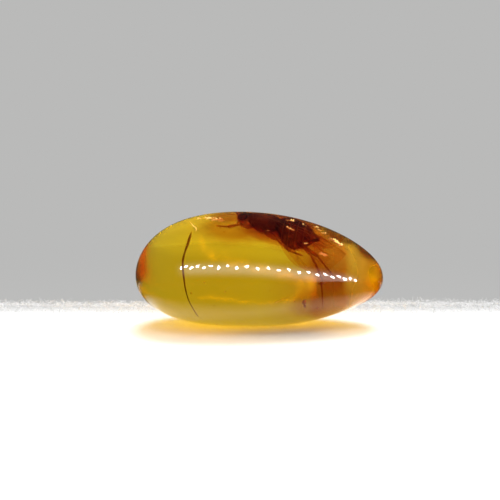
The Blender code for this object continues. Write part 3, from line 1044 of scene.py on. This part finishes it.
def crack_row(place, share):
    """Places from the skin inwards at one height. The crack reaches furthest in at mid height."""
    reach = CRACK_DEPTH * math.sin(math.pi * min(max(share, 0.02), 0.98)) ** 0.6
    row = []
    for step in range(CRACK_STEPS + 1):
        point = skin_place(place.x, place.y, CRACK_UNDER_SKIN + reach * step / CRACK_STEPS)
        point.x += 0.05 * MM * noise.noise(Vector((share * 9.0, step * 0.5, 2.0)))
        row.append(point)
    return row


def make_crack():
    bm = bmesh.new()
    path = along_curve([Vector((x * MM, math.radians(angle), 0.0)) for x, angle in CRACK_PATH], CRACK_ROWS)
    upper, lower = CRACK_THICKNESS
    sheets = []
    for half in (-0.5, 0.5):
        sheet = []
        for index, place in enumerate(path):
            share = index / (CRACK_ROWS - 1)
            full = (lower + (upper - lower) * ease(1.6 - 3.6 * share)) * ease(0.15 + 8.0 * share)
            sheet.append([
                bm.verts.new(point + Vector((full * (1.0 - 0.7 * step / CRACK_STEPS) * half, 0.0, 0.0)))
                for step, point in enumerate(crack_row(place, share))
            ])
        sheets.append(sheet)
    fill_double_sheet(bm, sheets)
    return bm


crack_fill, *crack_nodes = new_material("crack_fill", Roughness=0.3, IOR=1.0, Transmission_Weight=1.0)
add_mottle(*crack_nodes, (0.34, 0.15, 0.05), (0.60, 0.34, 0.14), 900.0, 0.3)
finish_piece("healed_crack", make_crack(), [crack_fill])

# %% [markdown]
# ## Bubbles, gold flecks and crumbs
# Running resin traps air and dirt. Air makes tiny round bubbles, flattened ones flash like crumpled gold
# leaf, and crumbs and threads of bark stay as brown specks and strokes. That flash is a painted glint: the
# gold flecks glow with a light of their own. They could be scattered at random, but a few well-placed
# ones give the eye more depth inside the stone.

# %% Bubbles, flecks and crumbs
# Places near the skin are x in mm, degrees above the girdle and depth in mm. Sizes and radii are in mm.
GOLD_FLECKS = (
    (-5.24, 80.0, 0.12, 0.45), (-4.60, 78.0, 0.12, 0.50), (-4.20, 75.0, 0.12, 0.70),
    (-3.70, 71.5, 0.12, 0.90), (-3.30, 68.0, 0.12, 0.45), (-2.12, 63.1, 0.12, 0.16),
    (0.74, 55.3, 0.12, 0.20), (2.74, 80.0, 0.12, 0.70), (2.52, 63.6, 0.12, 0.40),
    (2.80, 61.5, 0.12, 0.40), (3.97, 76.0, 0.12, 0.42), (4.95, 79.0, 0.12, 0.50),
    (5.24, 74.0, 0.10, 0.36), (5.67, 69.2, 0.10, 0.40), (3.99, 46.0, 0.12, 0.30),
    (6.40, 61.2, 0.10, 0.62), (6.87, 56.7, 0.10, 0.70), (5.55, 36.5, 0.20, 0.62),
)
GOLD_LINE = ((-6.10, 77.0, 0.12), (-5.80, 68.0, 0.12), (-5.50, 62.0, 0.12), (-5.52, 57.5, 0.12))
CRUMBS = ((3.85, -21.0, 0.30, 0.19), (3.88, -27.0, 0.30, 0.11), (5.01, -34.3, 0.25, 0.10))
THREADS = (
    (0.085, ((5.30, 4.0, 0.20), (5.36, -5.0, 0.30), (5.43, -18.0, 0.30), (5.45, -32.0, 0.20))),
    (0.060, ((5.05, 2.0, 0.20), (5.30, 1.5, 0.22), (5.70, 2.5, 0.20))),
    (0.035, ((3.86, -24.0, 0.30), (3.95, -31.0, 0.25), (3.91, -38.0, 0.20))),
    (0.022, ((1.33, -18.2, 0.30), (2.00, -14.5, 0.40), (2.62, -11.8, 0.30))),
)
BUBBLE_COUNT = 26
# Painted glint: the flecks and the gold line glow by emission, in place of light that flat bubbles throw
# back.
FLECK_PAINTED_GLINT = 0.60  # the light that a flat bubble throws back


def near_skin(x, degrees, depth):
    return skin_place(x * MM, math.radians(degrees), depth * MM)


def add_lump(bm, centre, half_sizes, seed, roughness):
    """A small uneven lump."""
    ball = bmesh.ops.create_icosphere(bm, subdivisions=3, radius=1.0)
    for vertex in ball["verts"]:
        unit = vertex.co.copy()
        swell = 1.0 + roughness * noise.noise(unit * 1.6 + Vector((seed, 0.0, 0.0)))
        vertex.co = centre + unit * half_sizes * swell


def add_flake(bm, centre, size, chance):
    """A few crumpled leaves, side by side along a short curve."""
    bend = chance.uniform(-0.6, 0.6)
    turn = Matrix.Rotation(chance.uniform(-0.3, 0.7), 3, "Y")
    for leaf in range(4):
        along = (leaf - 1.5) * 0.24 * size
        offset = Vector((along, 0.0, bend * along**2 / size + chance.uniform(-0.10, 0.10) * size))
        half_sizes = Vector((chance.uniform(0.12, 0.24), 0.06, chance.uniform(0.12, 0.22))) * size
        add_lump(bm, centre + turn @ offset, half_sizes, chance.uniform(0.0, 90.0), 1.1)


def add_thread(bm, places, radii, sides):
    add_tube(bm, along_curve([near_skin(*place) for place in places], len(radii)), radii, sides)


fleck_mesh = bmesh.new()
fleck_chance = random.Random(8)
for *place, size in GOLD_FLECKS:
    add_flake(fleck_mesh, near_skin(*place), size * MM, fleck_chance)
add_thread(fleck_mesh, GOLD_LINE, [0.05 * MM * math.sin(0.2 + 0.18 * step) for step in range(16)], 8)
# The gold colour also feeds the emission, so the flecks glow as a painted glint.
gold, gold_tree, gold_shader = new_material("gold_fleck", Roughness=0.3, Emission_Strength=FLECK_PAINTED_GLINT)
gold_and_glint_colour = add_mottle(gold_tree, gold_shader, (1.0, 0.70, 0.22), (0.95, 0.50, 0.12), 5000.0, 0.3)
gold_tree.links.new(gold_and_glint_colour, gold_shader.inputs["Emission Color"])
finish_piece("gold_flecks", fleck_mesh, [gold])

crumb_mesh = bmesh.new()
for index, (*place, size) in enumerate(CRUMBS):
    add_lump(crumb_mesh, near_skin(*place), Vector((1.0, 0.8, 1.2)) * size * MM, index * 5.3, 0.5)
for radius, places in THREADS:
    add_thread(crumb_mesh, places, [radius * MM * (1.0 - 0.04 * step) for step in range(14)], 6)
finish_piece("bark_crumbs", crumb_mesh, [thin_chitin])

bubble_mesh = bmesh.new()
draw = random.Random(5).uniform
for _ in range(BUBBLE_COUNT):
    place = near_skin(draw(-6.0, 8.5), draw(-30.0, 65.0), draw(0.4, 2.2))
    bmesh.ops.create_icosphere(
        bubble_mesh, subdivisions=3, radius=draw(0.025, 0.07) * MM, matrix=Matrix.Translation(place)
    )
air, _, _ = new_material(
    "trapped_air", Base_Color=(1.0, 1.0, 1.0, 1.0), Roughness=0.0, IOR=1.0 / AMBER_IOR,
    Transmission_Weight=1.0,
)
finish_piece("air_bubbles", bubble_mesh, [air])

# %% [markdown]
# ## The stage
# The stone lies on a white cloth that falls away behind it, inside a big grey backdrop that is a little
# lighter towards the floor. A polished stone mirrors all that lies around it, and a whole sheet of cloth
# would drown its colour in a white veil. So the cloth goes dark, for mirrored light only, a little way
# out from the stone, which leaves a pale band along its lower edge. Loose fibres soften the line where
# the cloth turns away. None of this is part of the object.

# %% Cloth and backdrop
CLOTH_DROP_START = 8.0 * MM
CLOTH_ROLL = 40.0 * MM  # radius of the fold at the back
CLOTH_STEEPEST = 0.5
CLOTH_UNDER_STONE = 0.02 * MM
CLOTH_HALF = 260.0 * MM
CLOTH_CROWDING = 2.2  # above 1, the mesh is finer near the stone
# Painted shade: the cloth's colour is darker behind the stone than before it.
CLOTH_WHITE_AND_PAINTED_SHADE = (0.90, 0.32)  # how light it is before and behind the stone
CLOTH_FADE = (-2.0 * MM, 12.0 * MM)  # where that change lies
SHINE_END = (0.85, 1.36)  # the stone's skin mirrors the cloth out to here, in stone sizes
SHINE_START = (0.60, 0.95)  # and only from here is it as bright
# Painted reflection: near the stone the cloth glows by this much, for mirrored rays only.
CLOTH_PAINTED_SHINE = 0.50  # and how much brighter than lit it is there
BACKDROP_GREY = (0.49, 0.49, 0.485, 1.0)
BACKDROP_GLOW = (-0.050, -0.130, 1.0, 1.25)  # start and end height, and the light at each
BACKDROP_RADIUS = 0.45
NAP_FIBRES = 7000


def cloth_height(x, y):
    fall = max(y - CLOTH_DROP_START, 0.0)
    straight = CLOTH_STEEPEST * CLOTH_ROLL
    if fall < straight:
        drop = fall**2 / (2.0 * CLOTH_ROLL)
    else:
        drop = straight**2 / (2.0 * CLOTH_ROLL) + CLOTH_STEEPEST * (fall - straight)
    swell = noise.noise(Vector((x / 30.0, y / 60.0, 4.0)) / MM) * ease(fall / (4.0 * MM))
    return -CLOTH_UNDER_STONE - drop + 0.22 * MM * (swell - 0.5 * ease(fall / (4.0 * MM)))


def make_cloth():
    bm = bmesh.new()
    bmesh.ops.create_grid(bm, x_segments=240, y_segments=240, size=1.0)
    for vertex in bm.verts:
        x, y = (CLOTH_HALF * math.copysign(abs(share) ** CLOTH_CROWDING, share) for share in vertex.co.xy)
        vertex.co = Vector((x, y, cloth_height(x, y)))
    return bm


def make_nap(draw, draw_peaked):
    """Loose fibres that stand up where the cloth turns away."""
    bm = bmesh.new()
    for _ in range(NAP_FIBRES):
        x = draw(-27.0, 27.0) * MM
        y = draw_peaked(4.0, 17.0, 13.0) * MM
        root = Vector((x, y, cloth_height(x, y) - 0.1 * MM))
        lean = Vector((draw(-1.0, 1.0), draw(-0.5, 0.5), draw(0.1, 0.8)))
        reach = lean.normalized() * draw(0.3, 1.0) * MM
        curl = mm(draw(-0.3, 0.3), 0.0, -0.15)
        points = [root, root + reach * 0.6, root + reach + curl]
        add_tube(bm, points, [0.016 * MM, 0.013 * MM, 0.007 * MM], 3)
    return bm


def dress_cloth(tree, shader):
    """Painted shade: paler before the stone than behind it. In mirrors it glows near the stone, a painted
    reflection, and is dark further out.
    """
    place = own_place(tree)
    lit = fade(tree, add_node(tree, "SeparateXYZ", {0: place}).outputs["Y"], *CLOTH_FADE, *CLOTH_WHITE_AND_PAINTED_SHADE)
    stones = maths(tree, "DIVIDE", place, (0.5 * STONE_LENGTH, 0.5 * STONE_WIDTH, 1.0), "VectorMath")
    from_stone = add_node(tree, "VectorMath", {0: stones}, operation="LENGTH").outputs["Value"]
    far = fade(tree, from_stone, *SHINE_END)
    ray = add_node(tree, "LightPath").outputs
    mirrored = maths(tree, "SUBTRACT", ray["Is Glossy Ray"], ray["Is Transmission Ray"], use_clamp=True)
    kept = maths(tree, "SUBTRACT", 1.0, maths(tree, "MULTIPLY", far, mirrored))
    tree.links.new(maths(tree, "MULTIPLY", lit, kept), shader.inputs["Base Color"])
    beside = fade(tree, from_stone, *SHINE_START, high=maths(tree, "SUBTRACT", 1.0, far))
    shine = maths(tree, "MULTIPLY", maths(tree, "MULTIPLY", beside, mirrored), CLOTH_PAINTED_SHINE)
    tree.links.new(shine, shader.inputs["Emission Strength"])
    shader.inputs["Emission Color"].default_value = (1.0, 0.96, 0.94, 1.0)
    add_grain(tree, shader, scale=1500.0, pits=0.0, strength=0.4, distance=0.2 * MM)


def stage_object(name, bm, material):
    made = new_object(name, bm, [material])
    return made


white_cloth, *cloth_nodes = new_material("white_cloth", Roughness=0.9)
dress_cloth(*cloth_nodes)
cloth = stage_object("cloth", make_cloth(), white_cloth)
white_fibre, _, _ = new_material("white_fibre", Base_Color=(0.92, 0.92, 0.92, 1.0), Roughness=0.8)
nap_chance = random.Random(21)
nap = stage_object("cloth_nap", make_nap(nap_chance.uniform, nap_chance.triangular), white_fibre)
nap.visible_transmission = False

backdrop_mesh = bmesh.new()
bmesh.ops.create_uvsphere(backdrop_mesh, u_segments=64, v_segments=48, radius=BACKDROP_RADIUS)
grey_paper, grey_tree, grey_shader = new_material(
    "grey_paper", Base_Color=(0.0, 0.0, 0.0, 1.0), Emission_Color=BACKDROP_GREY, Roughness=1.0,
)
grey_height = add_node(grey_tree, "SeparateXYZ", {0: own_place(grey_tree)}).outputs["Z"]
grey_tree.links.new(fade(grey_tree, grey_height, *BACKDROP_GLOW), grey_shader.inputs["Emission Strength"])
backdrop = stage_object("backdrop", backdrop_mesh, grey_paper)
backdrop.visible_glossy = False
print("cloth and backdrop")

# %% [markdown]
# ## Room light
# Daylight in a plain room comes from everywhere at once. A picture of a sky could give it; one large
# soft light above and a dim grey world do the same here. A second light falls on the cloth alone, so
# that the cloth behind stays pale while the stone keeps its depth.

# %% Light
ROOM_GREY = 0.03
TOP_LIGHT = (Vector((0.0, 0.0, 0.30)), 0.30, 0.40)  # place and size in metres, power in watts
CLOTH_LIGHT = (Vector((0.02, 0.17, 0.20)), 0.14, 1.2)


def add_area_light(name, place, aim, size, power):
    light = bpy.data.lights.new(name, "AREA")
    light.size = size
    light.energy = power
    holder = bpy.data.objects.new(name, light)
    holder.location = place
    holder.rotation_euler = (aim - place).to_track_quat("-Z", "Y").to_euler()
    holder.visible_transmission = False
    bpy.context.scene.collection.objects.link(holder)
    return holder


def light_only(holder, name, *lit):
    """The light shines on these objects alone."""
    holder.light_linking.receiver_collection = bpy.data.collections.new(name)
    for piece in lit:
        holder.light_linking.receiver_collection.objects.link(piece)


world = bpy.data.worlds.new("room")
world.use_nodes = True
world.node_tree.nodes["Background"].inputs["Color"].default_value = (ROOM_GREY, ROOM_GREY, ROOM_GREY, 1.0)
bpy.context.scene.world = world
room_lights = [
    add_area_light(name, place, Vector((0.0, 0.0, 0.0)), size, power)
    for name, (place, size, power) in (("top_light", TOP_LIGHT), ("cloth_light", CLOTH_LIGHT))
]
for holder in room_lights:
    holder.visible_glossy = False
light_only(room_lights[1], "lit_cloth", cloth, nap)
print("room lights")

# %% [markdown]
# ## The string of lamps
# Small lamps make small highlights, and where each one shows depends on the curve of the stone. Moving
# lamps about until their reflections line up would take all day. It is quicker to work backwards: send a
# ray from the camera to the place where a highlight is wanted, bounce it off the stone, and put a lamp
# where it ends. The same trick shapes one dim panel, whose reflection is the soft glow along the string.
# The lamps shine on the stone alone, so that they don't light the cloth as well.

# %% Lamps placed by their reflections
LAMP_DISTANCE = 160.0 * MM
LAMP_COUNT = 23
LAMP_GLOW = 60.0
LAMP_SPOT = 0.0026  # radius of a highlight
STRING_START = (-0.1385, -0.0345)  # highlight of the first lamp, in picture widths from the middle
STRING_END = (0.2110, -0.0600)
STRING_CROWDING = 0.35  # how much closer the lamps are at both ends
STRING_SAG = 0.010
ZIGZAG = 0.0016
PANEL_GLOW = 3.2
PANEL_HALF = 0.024
PANEL_DROP = 0.005
PANEL_OVERHANG = 0.04  # at each end of the string, as a share of its length
PANEL_STEPS = (60, 16)


def string_place(share):
    """Where along the string the highlight goes, in picture widths from the middle."""
    side, up = (start + (end - start) * share for start, end in zip(STRING_START, STRING_END))
    return side, up + STRING_SAG * math.sin(math.pi * share)


def bounce(side, up, distance=LAMP_DISTANCE):
    """A point far out on the ray that leaves the camera at this place in the picture and meets the stone."""
    view = bpy.context.scene.camera.matrix_world
    share = Vector(((side + SHIFT_SIDE) * PICTURE_WIDTH, (up + SHIFT_UP) * PICTURE_WIDTH, -CAMERA_DISTANCE))
    way = (view.to_3x3() @ share).normalized()
    _, place, _, index = stone.ray_cast(view.translation, way)
    corners = [stone.data.vertices[vertex] for vertex in stone.data.polygons[index].vertices]
    weights = poly_3d_calc([corner.co for corner in corners], place)
    normal = Vector((0.0, 0.0, 0.0))
    for corner, weight in zip(corners, weights):
        normal += corner.normal * weight
    return place + way.reflect(normal.normalized()) * distance


def add_lamp(index):
    """An area light just large enough to give a round highlight."""
    share = index / (LAMP_COUNT - 1)
    share -= STRING_CROWDING * math.sin(2.0 * math.pi * share) / (2.0 * math.pi)
    side, up = string_place(share)
    up += ZIGZAG * (1.0 if index % 2 else -1.0)
    width = (bounce(side + LAMP_SPOT, up) - bounce(side - LAMP_SPOT, up)).length
    height = (bounce(side, up + LAMP_SPOT) - bounce(side, up - LAMP_SPOT)).length
    power = LAMP_GLOW * math.pi * width * height
    middle = Vector((0.0, 0.0, 0.5 * CROWN_RISE))
    holder = add_area_light(f"lamp_{index}", bounce(side, up), middle, width, power)
    holder.data.shape = "ELLIPSE"
    holder.data.size_y = height
    holder.light_linking.receiver_collection = lit_by_lamps


def make_panel():
    bm = bmesh.new()
    glow = bm.verts.layers.float.new("glow")
    columns, rows = PANEL_STEPS
    grid = []
    for column in range(columns + 1):
        share = -PANEL_OVERHANG + (1.0 + 2.0 * PANEL_OVERHANG) * column / columns
        side, up = string_place(share)
        end_fade = ease(min(share + PANEL_OVERHANG, 1.0 + PANEL_OVERHANG - share) / 0.10)
        line = []
        for row in range(rows + 1):
            offset = 2.0 * row / rows - 1.0
            height = up - PANEL_DROP + PANEL_HALF * offset
            vertex = bm.verts.new(bounce(side, height, 1.3 * LAMP_DISTANCE))
            vertex[glow] = ease(1.0 - abs(offset)) ** 2 * end_fade
            line.append(vertex)
        grid.append(line)
    fill_sheet(bm, grid)
    return bm


bpy.context.view_layer.update()
lit_by_lamps = bpy.data.collections.new("lit_by_lamps")
lit_by_lamps.objects.link(stone)
for index in range(LAMP_COUNT):
    add_lamp(index)
glow_panel, panel_tree, panel_shader = new_material(
    "glow_panel", Base_Color=(0.0, 0.0, 0.0, 1.0), Emission_Color=(1.0, 0.97, 0.92, 1.0),
)
glow_panel.cycles.emission_sampling = "NONE"
panel_fade = add_node(panel_tree, "Attribute", attribute_name="glow").outputs["Fac"]
panel_glow = maths(panel_tree, "MULTIPLY", panel_fade, PANEL_GLOW)
panel_tree.links.new(panel_glow, panel_shader.inputs["Emission Strength"])
panel = stage_object("glow_panel", make_panel(), glow_panel)
for rays in ("camera", "diffuse", "transmission", "volume_scatter", "shadow"):
    setattr(panel, "visible_" + rays, False)
print("lamps:", LAMP_COUNT)
